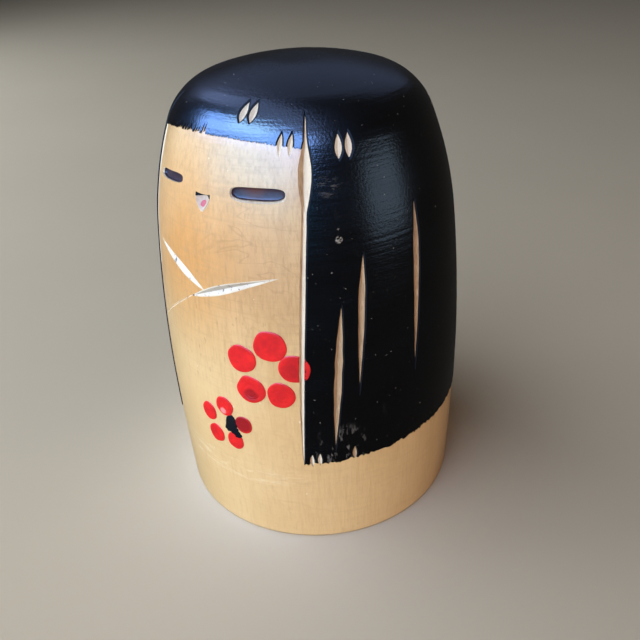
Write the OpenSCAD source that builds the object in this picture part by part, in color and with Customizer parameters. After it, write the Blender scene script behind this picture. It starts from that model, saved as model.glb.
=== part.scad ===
// Squat one-piece kokeshi doll: a turned wood block with painted coats and gouge cuts.
// The face looks along -Y, and +X is the doll's own left. Turn angles are counted about
// the Z axis from the middle of the face, positive towards +X. The doll stands on Z = 0.

/* [Turned block] */
// Height of the block, from the base to the bare crown
body_h = 87.3; // [72:0.1:106]
// Radius of the bare wood at the belly
body_r = 29.8; // [24:0.1:36]
// Bow radius of the wall below the belly
foot_bow_r = 580; // [200:10:1500]
// Bow radius of the wall above the belly
side_bow_r = 290; // [200:5:600]
// Lean of the wall where the shoulder begins, in degrees from upright
shoulder_lean = 6.4; // [4:0.1:9]
// Bow radius of the shoulder
shoulder_bow_r = 70; // [40:1:110]
// Lean of the wall where the crown's edge begins
crown_edge_lean = 22; // [16:0.5:30]
// Radius of the crown's rounded edge
crown_edge_r = 11.3; // [8:0.1:16]
// Lean where the crown's edge runs out into the crown
crown_lean = 73.5; // [65:0.5:80]
// Rounding of the base's edge
base_edge_r = 0.5; // [0.3:0.1:1.2]

/* [Hair] */
// Thickness of the black lacquer
lacquer_t = 0.2; // [0.1:0.05:0.4]
// Height of the lacquer's lower edge above the base
hair_foot_z = 21; // [14:0.5:30]
// Drop of the fringe below the crown
fringe_drop = 8; // [6:0.1:10]
// Turn of the side locks at their upper tips
lock_turn_top = 41.5; // [37:0.5:46]
// Turn of the side locks at the lacquer's lower edge
lock_turn_foot = 33; // [28:0.5:38]
// Bow of the side locks towards the face
lock_bow = 1; // [0:0.1:2]

/* [Gouge cuts] */
// Half angle of the gouge's V, between its axis and one wall
gouge_half_angle = 52; // [40:1:60]
// Drop of the side locks' upper tips below the crown
lock_top_drop = 4.1; // [3:0.1:5]
// Width of a side lock along its length
lock_w = 0.9; // [0.6:0.05:2]
// Width of a side lock at its widest, beside the face
lock_wide_w = 2.1; // [1.6:0.1:3]
// Drop of the wide stretch's upper end below the side lock's tip
lock_wide_drop = 2.2; // [1:0.1:4]
// Height of a side lock's wide stretch
lock_wide_len = 13; // [9:1:24]
// Width of the strand cuts
strand_w = 1.1; // [0.7:0.05:1.8]
// Height of the front strand's lower tip above the lacquer's edge
strand_1_rise = 2.5; // [1:0.5:6]
// Height of the middle strand's lower tip above the lacquer's edge
strand_2_rise = 14.5; // [8:0.5:20]
// Height of the rear strand's lower tip above the lacquer's edge
strand_3_rise = 15.5; // [8:0.5:20]
// How quickly a side lock's depth fades towards its ends
lock_fade = 0.35; // [0.2:0.05:1]
// Length of a strand cut
strand_len = 30; // [20:0.5:34]
// Length of a leaf cut
leaf_len = 4.4; // [3:0.1:6]
// Width of a leaf cut
leaf_w = 1; // [0.7:0.05:1.5]
// Bare gap between the two leaves of a pair
leaf_gap = 0.65; // [0.3:0.05:1.5]
// Turn of the leaf pair in the fringe
fringe_leaf_turn = 15.7; // [10:0.1:20]
// Drop of the fringe's leaf pair below the crown
fringe_leaf_drop = 4.2; // [3.5:0.1:5]
// Turn of the leaf pairs over the side hair
temple_leaf_turn = 55; // [50:0.5:60]
// Drop of the side hair's leaf pairs below the crown
temple_leaf_drop = 8.8; // [6:0.1:12]
// Length of the short nicks in the fringe and at the lacquer's edge
nick_len = 3.6; // [2:0.1:5]
// Width of a short nick
nick_w = 0.75; // [0.5:0.05:1.2]

/* [Face] */
// Drop of the eyes' middles below the crown
eye_drop = 15.1; // [13:0.1:17]
// Turn of each eye's middle
eye_turn = 22.1; // [20:0.1:24]
// Angle that each eye spans
eye_span = 19.5; // [14:0.5:22]
// Height of an eye slot
eye_slot_h = 2; // [1.4:0.1:2.6]
// Depth of an eye slot
eye_slot_depth = 0.8; // [0.5:0.1:1.2]
// Drop of the right eye's middle below the left one's
right_eye_drop = 0.4; // [0:0.1:1]
// Tilt that lowers the right eye's outer end, in degrees
right_eye_tilt = 7; // [0:0.5:12]
// Thickness of the eye paint
eye_paint_t = 0.3; // [0.15:0.05:0.35]
// Drop of the mouth's upper edge below the crown
mouth_drop = 16.3; // [15:0.1:18]
// Width of the mouth
mouth_w = 3.2; // [2.4:0.1:4]
// Height of the mouth
mouth_h = 2.9; // [2.2:0.1:3.4]
// Depth of the mouth's chip
mouth_depth = 1.1; // [0.8:0.1:1.5]
// Height of the dark line under the mouth's upper edge
lip_line_h = 0.45; // [0.3:0.05:0.6]
// Radius of the tongue's dab
tongue_r = 0.42; // [0.3:0.02:0.5]

/* [Collar] */
// Drop of the lapels' crossing below the crown
collar_drop = 32.8; // [30:0.1:36]
// Rise of the lapels from their crossing to their outer tips
collar_rise = 4.7; // [3:0.1:7]
// Depth of the white paint in the bottom of a lapel cut
lapel_coat_t = 0.25; // [0.15:0.05:0.35]
// Turn of the lapels' outer tips
collar_turn = 30.5; // [24:0.5:33]
// Upward bow of a lapel's middle
lapel_bow = 0.8; // [0:0.1:1.5]
// Turn by which the left lapel runs on past the crossing
lap_turn = 8; // [4:0.5:12]
// Drop of the left lapel's lower tip below the crossing
lap_drop = 2.4; // [1:0.1:4]
// Width of a lapel cut
collar_w = 1.7; // [1:0.1:2.2]
// Turn of the under fold's lower tip
fold_turn = 31; // [24:0.5:33]
// Drop of the under fold's lower tip below the crossing
fold_drop = 11; // [8:0.5:14]
// Width of the under fold's thin scratch
fold_w = 0.5; // [0.3:0.05:0.8]

/* [Flowers] */
// Thickness of a paint dab
dab_t = 0.2; // [0.1:0.05:0.4]
// Turn of the large flower's middle
large_turn = 22.6; // [20:0.1:24]
// Drop of the large flower's middle below the lapels' crossing
large_drop = 13.5; // [12:0.1:16]
// Radius of a large petal
large_petal_r = 2.8; // [2:0.05:3.4]
// Gap between neighbouring large petals
large_petal_gap = 0.4; // [0.1:0.05:1.5]
// Angle of the first large petal, from the doll's left
large_first_angle = 10; // [0:1:72]
// Turn of the small flower's middle
small_turn = 3.2; // [1:0.1:6]
// Drop of the small flower's middle below the large one's
small_drop = 14.2; // [13:0.1:16]
// Radius of a small petal
small_petal_r = 1.95; // [1.5:0.05:2.4]
// Gap between neighbouring small petals
small_petal_gap = 1.1; // [0.1:0.05:2]
// Angle of the first small petal, from the doll's left
small_first_angle = 88; // [60:1:132]
// Radius of the dark blot in the small flower
blot_r = 2.4; // [1.8:0.1:2.8]
// Shift of the blot from the flower's middle towards the doll's left
blot_shift = 1.4; // [0:0.1:2]

/* [Hidden] */
LARGE_PETALS = [for (i = [1:5]) str("large_flower_petal_", i)];
SMALL_PETALS = [for (i = [1:5]) str("small_flower_petal_", i)];

$fn = 200;
WOOD = [0.84, 0.70, 0.49];
BLACK = [0.06, 0.06, 0.07];
RED = [0.80, 0.07, 0.08];
WHITE = [0.93, 0.91, 0.88];
INK = [0.10, 0.09, 0.15];
PINK = [0.88, 0.55, 0.62];

// How far a cutter stands out of the surface, and how far its tips rise out of it
cut_over = 1;
tip_lift = 0.12;
// A length that is longer than any radius of the doll
beyond = 1.2 * body_r;

// The wall is a chain of five arcs. Each is [centre r, centre z, radius, start lean, end lean],
// and they meet with a common tangent.
shoulder_c = [body_r - side_bow_r + (side_bow_r - shoulder_bow_r) * cos(shoulder_lean),
    (side_bow_r - shoulder_bow_r) * sin(shoulder_lean)];
edge_c = shoulder_c + (shoulder_bow_r - crown_edge_r) * [cos(crown_edge_lean), sin(crown_edge_lean)];
crown_bow_r = crown_edge_r + edge_c[0] / cos(crown_lean);
crown_c = edge_c + (crown_edge_r - crown_bow_r) * [cos(crown_lean), sin(crown_lean)];
belly_z = body_h - crown_c[1] - crown_bow_r;
foot_lean = -asin((belly_z - base_edge_r) / foot_bow_r);
WALL = [
    [body_r - foot_bow_r, belly_z, foot_bow_r, foot_lean, 0],
    [body_r - side_bow_r, belly_z, side_bow_r, 0, shoulder_lean],
    [shoulder_c[0], belly_z + shoulder_c[1], shoulder_bow_r, shoulder_lean, crown_edge_lean],
    [edge_c[0], belly_z + edge_c[1], crown_edge_r, crown_edge_lean, crown_lean],
    [crown_c[0], belly_z + crown_c[1], crown_bow_r, crown_lean, 90]];
wall_steps = [4, 8, 7, 9, 5];

// The wall's arc at height z, its lean there and its radius there
function arc_top(a) = a[1] + a[2] * sin(a[4]);
function arc_at(z, i = 0) = i >= len(WALL) - 1 || z < arc_top(WALL[i]) ? WALL[i] : arc_at(z, i + 1);
function lean_at(z) = let (a = arc_at(z)) asin(min(1, (z - a[1]) / a[2]));
function radius_at(z) = let (a = arc_at(z)) a[0] + a[2] * cos(lean_at(z));

// The point on the wall at [turn, z], pushed out along the wall's normal by lift
function outward(p) = let (l = lean_at(p[1])) [cos(l) * sin(p[0]), -cos(l) * cos(p[0]), sin(l)];
function on_wall(p, lift = 0) = let (r = radius_at(p[1]))
    [r * sin(p[0]), -r * cos(p[0]), p[1]] + lift * outward(p);

// Points of the wall's outline, pushed out by lift, from the foot up to the crown's middle
function outline(lift) = [for (k = [0:len(WALL) - 1]) let (a = WALL[k], n = wall_steps[k])
    for (i = [0:n]) if (i > 0 || k == 0) let (lean = a[3] + (a[4] - a[3]) * i / n)
        [a[0] + (a[2] + lift) * cos(lean), a[1] + (a[2] + lift) * sin(lean)]];

// Derived heights
fringe_z = body_h - fringe_drop;
eye_z = body_h - eye_drop;
mouth_z = body_h - mouth_drop;
collar_z = body_h - collar_drop;
large_z = collar_z - large_drop;
small_z = large_z - small_drop;
// Degrees of turn that a length along the belly's wall takes
degrees_per_mm = 180 / (PI * body_r);
// Angle between neighbouring petals, and the radii of the rings that their middles lie on
petal_pitch = 360 / 5;
large_ring_r = (large_petal_r + large_petal_gap / 2) / sin(petal_pitch / 2);
small_ring_r = (small_petal_r + small_petal_gap / 2) / sin(petal_pitch / 2);

// Cuts in each side's hair, from the front back
// Strands, each [turn of its lower tip, lean, rise]
SIDE_STRANDS = [[44.5, 4.5, strand_1_rise], [53.5, 4, strand_2_rise], [76.5, 3.5, strand_3_rise]];
// Nicks at the lacquer's lower edge, each [turn, rise]
FOOT_NICKS = [[36.2, 0.1], [39, 0.2], [51.7, 0.77]];
// Nicks in the fringe beside the left side lock, each [turn, lean]
FRINGE_NICKS = [[30.2, 1.5], [34.2, 1.6]];
// How far the fringe's nicks lie below its edge
fringe_nick_drop = 0.2;
// Turns of the strands down the back, and their lean
BACK_STRANDS = [116, 150, 180, 212, 246];
back_lean = 2;

// A solid block within the wall's outline pushed out by lift
module turned(lift = 0) {
    wall = outline(lift);
    foot_r = wall[0][0];
    edge = [for (i = [0:3]) let (a = -90 + 30 * i)
        [foot_r - base_edge_r + base_edge_r * cos(a), base_edge_r + base_edge_r * sin(a)]];
    rotate_extrude() polygon(concat([[0, 0]], edge, [for (p = wall) [max(0, p[0]), p[1]]]));
}

// The layer between two lifts of the wall, above the height z_low
module layer(low, high, z_low) {
    inner = outline(low);
    outer = outline(high);
    n = len(inner);
    difference() {
        rotate_extrude() polygon(concat([for (p = outer) [max(0, p[0]), p[1]]],
            [for (i = [1:n]) [max(0, inner[n - i][0]), inner[n - i][1]]]));
        translate([0, 0, -beyond]) cylinder(h = beyond + z_low, r = beyond);
    }
}

// A closed solid through three-cornered rings
module lofted(rings) {
    steps = len(rings) - 1;
    points = [for (ring = rings) for (p = ring) p];
    sides = [for (i = [0:steps - 1]) for (k = [0:2]) let (a = 3 * i + k, b = 3 * i + (k + 1) % 3)
        for (face = [[a, b, b + 3], [a, b + 3, a + 3]]) face];
    last = 3 * steps;
    polyhedron(points, concat([[2, 1, 0]], sides, [[last, last + 1, last + 2]]), convexity = 4);
}

// A gouge cut along a path of [turn, z] points: a V whose depth swells to its peak and fades.
// sink makes it shallower all along, which leaves room for a coat of paint in the cut. A low
// fade keeps it deep towards its ends.
function swell(t, peak) = t < peak ? sin(90 * t / peak) : cos(90 * (t - peak) / (1 - peak));
module gouge(path, w, peak = 0.5, sink = 0, fade = 1) {
    steps = len(path) - 1;
    depth = w / 2 / tan(gouge_half_angle) + tip_lift;
    lofted([for (i = [0:steps])
        let (d = depth * pow(max(0, swell(i / steps, peak)), fade) - tip_lift - sink,
            ahead = on_wall(path[min(i + 1, steps)]) - on_wall(path[max(i - 1, 0)]),
            side = cross(outward(path[i]), ahead) / norm(cross(outward(path[i]), ahead)),
            reach = side * (d + cut_over) * tan(gouge_half_angle),
            rim = on_wall(path[i], cut_over))
        [rim + reach, on_wall(path[i], -d), rim - reach]]);
}

// The path from one [turn, z] point to another. bow lifts its middle.
function stroke(from, to, bow = 0, steps = 12) = [for (i = [0:steps]) let (t = i / steps)
    from + (to - from) * t + [0, bow * 4 * t * (1 - t)]];

// The turn of a side lock at height z. Its middle bows towards the face.
lock_foot_z = hair_foot_z - lock_w;
lock_top_z = body_h - lock_top_drop;
function lock_turn(z) = let (t = (z - lock_foot_z) / (lock_top_z - lock_foot_z))
    lock_turn_foot + (lock_turn_top - lock_turn_foot) * t - lock_bow * 4 * t * (1 - t);

// The long cut between face and side hair: a narrow pass with a wide one over its upper end.
// side is 1 on the doll's left and -1 on its right.
module lock_cut(side) {
    function pass(high_z, low_z, steps) = [for (i = [0:steps])
        let (z = high_z + (low_z - high_z) * i / steps) [side * lock_turn(z), z]];
    wide_top = lock_top_z - lock_wide_drop;
    gouge(pass(lock_top_z, lock_foot_z, 24), lock_w, fade = lock_fade);
    gouge(pass(wide_top, wide_top - lock_wide_len, 12), lock_wide_w);
}

module strand(turn, lean, rise) {
    low = hair_foot_z + rise;
    gouge(stroke([turn + lean, low + strand_len], [turn, low]), strand_w, peak = 0.6);
}

module leaf(turn, z) {
    dz = leaf_len * cos(lean_at(z)) / 2;
    gouge(stroke([turn, z + dz], [turn, z - dz], steps = 8), leaf_w, peak = 0.55);
}

module leaf_pair(turn, drop) {
    z = body_h - drop;
    half = (leaf_w + leaf_gap) / 2 / radius_at(z) * 180 / PI;
    leaf(turn - half, z);
    leaf(turn + half, z);
}

module nick(turn, z, lean = 0) {
    gouge(stroke([turn + lean, z + nick_len / 2], [turn, z - nick_len / 2], steps = 8), nick_w);
}

// The strands, leaves and nicks of one side's hair
module side_cuts(side) {
    for (cut = SIDE_STRANDS) strand(side * cut[0], side * cut[1], cut[2]);
    for (cut = FOOT_NICKS) nick(side * cut[0], hair_foot_z + cut[1]);
    leaf_pair(side * temple_leaf_turn, temple_leaf_drop);
}

module hair_cuts() {
    for (side = [-1, 1]) {
        lock_cut(side);
        side_cuts(side);
    }
    leaf_pair(fringe_leaf_turn, fringe_leaf_drop);
    for (cut = FRINGE_NICKS) nick(cut[0], fringe_z - fringe_nick_drop, cut[1]);
    for (turn = BACK_STRANDS) strand(turn, back_lean, strand_2_rise);
}

// The lapels' cuts. The left one laps over the right one's lower end.
module right_lapel_cut(sink = 0) {
    tip = [-collar_turn, collar_z + collar_rise];
    gouge(stroke(tip, [0, collar_z], bow = lapel_bow), collar_w, peak = 0.7, sink = sink);
}

module left_lapel_cut(sink = 0) {
    tip = [collar_turn, collar_z + collar_rise];
    lap = [-lap_turn, collar_z - lap_drop];
    gouge(stroke(lap, tip, bow = lapel_bow), collar_w, peak = 0.35, sink = sink);
}

module fold_cut() {
    gouge(stroke([-fold_turn, collar_z - fold_drop], [-lap_turn, collar_z - lap_drop]), fold_w);
}

// A radial prism, standing on the wall at [turn, z]
module radial(turn, z) {
    rotate([0, 0, turn]) translate([0, 0, z]) rotate([90, 0, 0]) linear_extrude(beyond) children();
}

// The plan of an eye slot: a straight bar with round ends
module eye_plan() {
    half = radius_at(eye_z) * sin(eye_span / 2) - eye_slot_h / 2;
    square([2 * half, eye_slot_h], center = true);
    for (side = [-1, 1]) translate([side * half, 0]) circle(d = eye_slot_h);
}

// The straight sides of an eye's slot. side is 1 on the doll's left and -1 on its right.
module eye_prism(side) {
    drop = side < 0 ? right_eye_drop : 0;
    tilt = side < 0 ? right_eye_tilt : 0;
    radial(side * eye_turn, eye_z - drop) rotate(tilt) eye_plan();
}

module eye_slot(side) {
    difference() {
        eye_prism(side);
        turned(-eye_slot_depth);
    }
}

module eye_paint(side) {
    intersection() {
        eye_prism(side);
        layer(-eye_slot_depth, eye_paint_t - eye_slot_depth, eye_z - 2 * eye_slot_h);
    }
}

// The mouth's chip: a three-sided pit under a straight upper edge, deepest just below that
// edge. Each coat of paint in it shrinks it a little towards the middle of its mouth.
coat_shrink = 0.14;
module mouth_chip(coats = 0) {
    r = radius_at(mouth_z);
    low_r = radius_at(mouth_z - mouth_h);
    corners = [[-mouth_w / 2, -r, mouth_z], [mouth_w / 2, -r, mouth_z], [0, -low_r, mouth_z - mouth_h]];
    middle = (corners[0] + corners[1] + corners[2]) / 3 - [0, cut_over / 4, 0];
    pit = [0, mouth_depth - r, mouth_z - mouth_h / 10];
    // The pit's walls run on past the wood's surface by this many times their own length
    run_on = 2.4;
    chip = concat([pit], [for (corner = corners) pit + (corner - pit) * run_on]);
    size = 1 - coats * coat_shrink;
    polyhedron([for (p = chip) middle + (p - middle) * size], [[2, 1, 0], [3, 2, 0], [1, 3, 0], [1, 2, 3]]);
}

module mouth_coat(coat) {
    difference() {
        intersection() {
            turned();
            mouth_chip(coat);
        }
        mouth_chip(coat + 1);
    }
}

// Everything above the lip line's lower edge
module lip_band() {
    translate([-mouth_w, -beyond, mouth_z - lip_line_h]) cube([2 * mouth_w, beyond, beyond]);
}

// The bare front between the side locks, below the fringe
window_steps = 8;
module front_window() {
    lofted([for (i = [0:window_steps])
        let (z = lock_foot_z + (fringe_z - lock_foot_z) * i / window_steps, x = beyond * tan(lock_turn(z)))
        [[-x, -beyond, z], [0, 0, z], [x, -beyond, z]]]);
}

// A round dab of paint on the wall. turn is of the flower's middle, and across and up are
// distances from it.
module dab_prism(turn, z, across, up, r) {
    radial(turn + across * degrees_per_mm, z + up) circle(r);
}

module petal_prism(turn, z, ring_r, r, first_angle, i) {
    angle = first_angle + petal_pitch * i;
    dab_prism(turn, z, ring_r * cos(angle), ring_r * sin(angle), r);
}

module large_petal(i) {
    color(RED) difference() {
        intersection() {
            layer(0, dab_t, small_z);
            petal_prism(large_turn, large_z, large_ring_r, large_petal_r, large_first_angle, i);
            front_window();
        }
        lock_cut(1);
    }
}

module small_petal(i) {
    color(RED) intersection() {
        layer(0, dab_t, small_z - 2 * small_ring_r);
        petal_prism(small_turn, small_z, small_ring_r, small_petal_r, small_first_angle, i);
    }
}

module body() {
    color(WOOD) difference() {
        turned();
        hair_cuts();
        right_lapel_cut();
        left_lapel_cut();
        fold_cut();
        eye_slot(-1);
        eye_slot(1);
        mouth_chip();
    }
}

module hair_lacquer() {
    color(BLACK) difference() {
        layer(0, lacquer_t, hair_foot_z);
        front_window();
        hair_cuts();
    }
}

module eye_right() {
    color(INK) eye_paint(-1);
}

module eye_left() {
    color(INK) eye_paint(1);
}

module mouth_white() {
    color(WHITE) difference() {
        mouth_coat(0);
        lip_band();
    }
}

module mouth_lip_line() {
    color(INK) intersection() {
        mouth_coat(0);
        lip_band();
    }
}

module mouth_dot() {
    color(PINK) difference() {
        intersection() {
            mouth_coat(1);
            dab_prism(0, mouth_z - mouth_h / 2, 0, 0, tongue_r);
        }
        lip_band();
    }
}

module collar_right_lapel() {
    color(WHITE) difference() {
        intersection() {
            turned();
            right_lapel_cut();
        }
        right_lapel_cut(sink = lapel_coat_t);
        left_lapel_cut();
    }
}

module collar_left_lapel() {
    color(WHITE) difference() {
        intersection() {
            turned();
            left_lapel_cut();
        }
        left_lapel_cut(sink = lapel_coat_t);
    }
}

module flower_blot() {
    color(INK) difference() {
        intersection() {
            layer(0, 2 * dab_t, small_z - 2 * small_ring_r);
            dab_prism(small_turn, small_z, blot_shift, 0, blot_r);
        }
        for (i = [0:4]) small_petal(i);
    }
}

body();
hair_lacquer();
eye_right();
eye_left();
mouth_white();
mouth_lip_line();
mouth_dot();
collar_right_lapel();
collar_left_lapel();
for (i = [0:4]) large_petal(i);
for (i = [0:4]) small_petal(i);
flower_blot();
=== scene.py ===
"""Looks of a squat one-piece kokeshi doll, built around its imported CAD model.

Lengths are in millimetres until a mesh is made, and angles are in degrees. A place on the doll
is a turn about the lathe axis, counted from the middle of the face towards the doll's own
left, and a height. A lift is a distance out of the turned wall, along its normal.
"""

import math
import random

import bmesh
import bpy
import numpy as np
from mathutils import Matrix, Vector


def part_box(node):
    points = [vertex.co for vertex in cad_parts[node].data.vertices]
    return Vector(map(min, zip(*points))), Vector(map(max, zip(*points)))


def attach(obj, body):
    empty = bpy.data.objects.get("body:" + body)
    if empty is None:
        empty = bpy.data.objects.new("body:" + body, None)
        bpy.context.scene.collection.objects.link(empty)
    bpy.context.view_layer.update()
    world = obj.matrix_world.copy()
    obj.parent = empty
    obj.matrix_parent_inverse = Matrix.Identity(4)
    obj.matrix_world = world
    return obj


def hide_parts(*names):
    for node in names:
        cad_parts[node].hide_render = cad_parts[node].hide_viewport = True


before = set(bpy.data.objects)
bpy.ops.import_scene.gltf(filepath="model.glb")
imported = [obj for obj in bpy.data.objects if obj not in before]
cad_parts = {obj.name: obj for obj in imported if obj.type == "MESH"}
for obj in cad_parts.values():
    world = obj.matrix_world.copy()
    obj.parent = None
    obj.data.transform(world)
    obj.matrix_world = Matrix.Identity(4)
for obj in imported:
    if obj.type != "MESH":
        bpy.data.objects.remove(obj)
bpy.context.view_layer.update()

MM = 0.001
SEED = 7
# Steps around a turned piece, and the spacing and fewest steps along an arc of its wall
SEGMENTS = 360
WALL_SPACING = 0.6
MIN_ARC_STEPS = 4


# ---------------- the turned wall

def box_mm(node):
    """A CAD node's box in millimetres, as two arrays."""
    low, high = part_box(node)
    return np.array(low) / MM, np.array(high) / MM


BODY_LOW, BODY_HIGH = box_mm("body")
HEIGHT = BODY_HIGH[2]
BELLY_R = (BODY_HIGH[0] - BODY_LOW[0]) / 2
LACQUER = box_mm("hair_lacquer")[1][2] - HEIGHT
# How far a coat over another one reaches into it
OVERLAP = 0.01
# Thickness of the petals' paint
DAB = 0.2

# Radii of the wall's arcs, and its lean where they meet
FOOT_BOW_R = 580
SIDE_BOW_R = 290
SHOULDER_BOW_R = 70
CROWN_EDGE_R = 11.3
SHOULDER_LEAN = 6.4
CROWN_EDGE_LEAN = 22
CROWN_LEAN = 73.5
BASE_EDGE_R = 0.5


def direction(lean):
    """The cosine and sine of an angle, such as the wall's lean in the radius-height plane."""
    return np.array([math.cos(math.radians(lean)), math.sin(math.radians(lean))])


def wall_arcs():
    """The wall's arcs from foot to crown: (centre, radius, first lean, last lean)."""
    side = np.array([BELLY_R - SIDE_BOW_R, 0.0])
    shoulder = side + (SIDE_BOW_R - SHOULDER_BOW_R) * direction(SHOULDER_LEAN)
    edge = shoulder + (SHOULDER_BOW_R - CROWN_EDGE_R) * direction(CROWN_EDGE_LEAN)
    crown_r = CROWN_EDGE_R + edge[0] / math.cos(math.radians(CROWN_LEAN))
    crown = edge + (CROWN_EDGE_R - crown_r) * direction(CROWN_LEAN)
    belly = np.array([0.0, HEIGHT - crown[1] - crown_r])
    foot_lean = -math.degrees(math.asin((belly[1] - BASE_EDGE_R) / FOOT_BOW_R))
    foot = np.array([BELLY_R - FOOT_BOW_R, 0.0])
    return [
        (foot + belly, FOOT_BOW_R, foot_lean, 0),
        (side + belly, SIDE_BOW_R, 0, SHOULDER_LEAN),
        (shoulder + belly, SHOULDER_BOW_R, SHOULDER_LEAN, CROWN_EDGE_LEAN),
        (edge + belly, CROWN_EDGE_R, CROWN_EDGE_LEAN, CROWN_LEAN),
        (crown + belly, crown_r, CROWN_LEAN, 90),
    ]


ARCS = wall_arcs()
ARC_CENTRES = np.array([arc[0] for arc in ARCS])
ARC_BOWS = np.array([arc[1] for arc in ARCS])
ARC_TOPS = np.array([centre[1] + bow * math.sin(math.radians(last)) for centre, bow, first, last in ARCS])


def wall_at(z):
    """Radius and lean in radians of the wall at heights z."""
    z = np.asarray(z, float)
    which = np.minimum(np.searchsorted(ARC_TOPS, z), len(ARCS) - 1)
    bow = ARC_BOWS[which]
    lean = np.arcsin(np.clip((z - ARC_CENTRES[which, 1]) / bow, -1, 1))
    return ARC_CENTRES[which, 0] + bow * np.cos(lean), lean


def normal_at(turn, z):
    """The wall's outward normals at turns and heights."""
    t = np.radians(turn)
    lean = wall_at(z)[1]
    return np.stack([np.cos(lean) * np.sin(t), -np.cos(lean) * np.cos(t), np.sin(lean)], -1)


def on_wall(turn, z, lift=0.0):
    """Points on the wall at turns and heights, pushed out by lift."""
    turn, z, lift = np.broadcast_arrays(np.asarray(turn, float), z, lift)
    radius = wall_at(z)[0]
    t = np.radians(turn)
    wall = np.stack([radius * np.sin(t), -radius * np.cos(t), z], -1)
    return wall + lift[..., None] * normal_at(turn, z)


def near_wall(turn, z, across, up, lift=0.0):
    """Points at distances across and up the wall from a place on it."""
    radius, lean = wall_at(z)
    turns = turn + np.degrees(np.asarray(across) / radius)
    return on_wall(turns, z + np.asarray(up) * np.cos(lean), lift)


def place_of(node):
    """The turn and height of a CAD node's middle."""
    low, high = box_mm(node)
    middle = (low + high) / 2
    return math.degrees(math.atan2(middle[0], -middle[1])), middle[2]


# A petal whose box is this much taller than wide is cut off at the side lock
CUT_PETAL_RATIO = 1.15


def whole_place(node):
    """The turn and height of a whole petal's middle, also where the node holds only half of it."""
    turn, z = place_of(node)
    low, high = box_mm(node)
    width, depth, height = high - low
    if height > CUT_PETAL_RATIO * math.hypot(width, depth):
        turn = math.degrees(math.atan2(low[0], -low[1])) + math.degrees(height / 2 / BELLY_R)
    return turn, z


def outline(lift=0.0):
    """Radius and height along the wall, from the foot to the crown's middle."""
    rows = []
    for centre, bow, first, last in ARCS:
        count = max(MIN_ARC_STEPS, round(math.radians(last - first) * bow / WALL_SPACING))
        for i in range(0 if not rows else 1, count + 1):
            rows.append(centre + (bow + lift) * direction(first + (last - first) * i / count))
    rows[-1][0] = 0.0
    return np.array(rows)


# ---------------- mesh helpers

def add(name, data):
    """A new object in the scene."""
    thing = bpy.data.objects.new(name, data)
    bpy.context.scene.collection.objects.link(thing)
    return thing


def make(name, points, faces):
    """A mesh object from points in millimetres."""
    mesh = bpy.data.meshes.new(name)
    mesh.from_pydata((np.asarray(points, float) * MM).tolist(), [], faces)
    mesh.validate()
    return add(name, mesh)


def band(first, second, count):
    """Quads between two closed rings of vertices, given by their first indices."""
    steps = [(i, (i + 1) % count) for i in range(count)]
    return [(first + i, first + j, second + j, second + i) for i, j in steps]


def turned_points(rows):
    """A ring of points around the axis for each row of radius and height."""
    t = np.linspace(0, 2 * math.pi, SEGMENTS, endpoint=False)
    points = []
    for r, z in rows:
        points.extend(zip(r * np.sin(t), -r * np.cos(t), np.full(SEGMENTS, z)))
    return points


def lathe(name, profile):
    """A closed turned solid. The profile starts and ends on the axis."""
    points = [(0, 0, profile[0][1]), *turned_points(profile[1:-1]), (0, 0, profile[-1][1])]
    faces = []
    rings = len(profile) - 2
    for k in range(rings - 1):
        faces += band(1 + k * SEGMENTS, 1 + (k + 1) * SEGMENTS, SEGMENTS)
    top = len(points) - 1
    last = top - SEGMENTS
    for i in range(SEGMENTS):
        faces.append((0, 1 + (i + 1) % SEGMENTS, 1 + i))
        faces.append((top, last + i, last + (i + 1) % SEGMENTS))
    return make(name, points, faces)


def lofted(name, rings):
    """A closed solid through rings that have the same number of points."""
    rings = np.asarray(rings, float)
    steps, count = rings.shape[:2]
    faces = []
    for k in range(steps - 1):
        faces += band(k * count, (k + 1) * count, count)
    faces.append(tuple(range(count))[::-1])
    faces.append(tuple((steps - 1) * count + i for i in range(count)))
    return outward(make(name, rings.reshape(-1, 3), faces))


def outward(thing):
    """Turns a closed mesh's faces outwards."""
    work = bmesh.new()
    work.from_mesh(thing.data)
    bmesh.ops.recalc_face_normals(work, faces=work.faces)
    work.to_mesh(thing.data)
    work.free()
    return thing


def combine(thing, other, operation="DIFFERENCE", keep=False):
    """Cuts other from thing, or joins or intersects them. other is removed unless it is kept."""
    step = thing.modifiers.new("combine", "BOOLEAN")
    step.operation = operation
    step.solver = "MANIFOLD"
    step.object = other
    graph = bpy.context.evaluated_depsgraph_get()
    mesh = bpy.data.meshes.new_from_object(thing.evaluated_get(graph))
    thing.modifiers.clear()
    thing.data = mesh
    if not keep:
        bpy.data.objects.remove(other)


def union(parts):
    """Joins solids into the first of them."""
    whole = parts[0]
    for part in parts[1:]:
        combine(whole, part, "UNION")
    return whole


def copy_of(thing, name):
    """A copy of an object, with a mesh of its own."""
    twin = thing.copy()
    twin.data = thing.data.copy()
    twin.name = name
    bpy.context.scene.collection.objects.link(twin)
    return twin


def hump(t, height):
    """Rises from 0 to a height half way, and falls back to 0."""
    return height * 4 * t * (1 - t)


def ripple(count, rng, spacing=3):
    """A random curve of count values from -1 to 1, with a knot at every spacing-th value."""
    knots = max(3, count // spacing)
    heights = [rng.uniform(-1, 1) for _ in range(knots + 1)]
    return np.interp(np.linspace(0, knots, count), range(knots + 1), heights)


# ---------------- gouge cuts

# Half the V's angle, its height above the wall, and how far its tips are lifted clear of it
HALF_ANGLE = 52
CUT_OVER = 1.0
TIP_LIFT = 0.12
# Length of a step along a cut, and the fewest points on its path
STEP_LEN = 0.7
MIN_PATH_POINTS = 9


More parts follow.
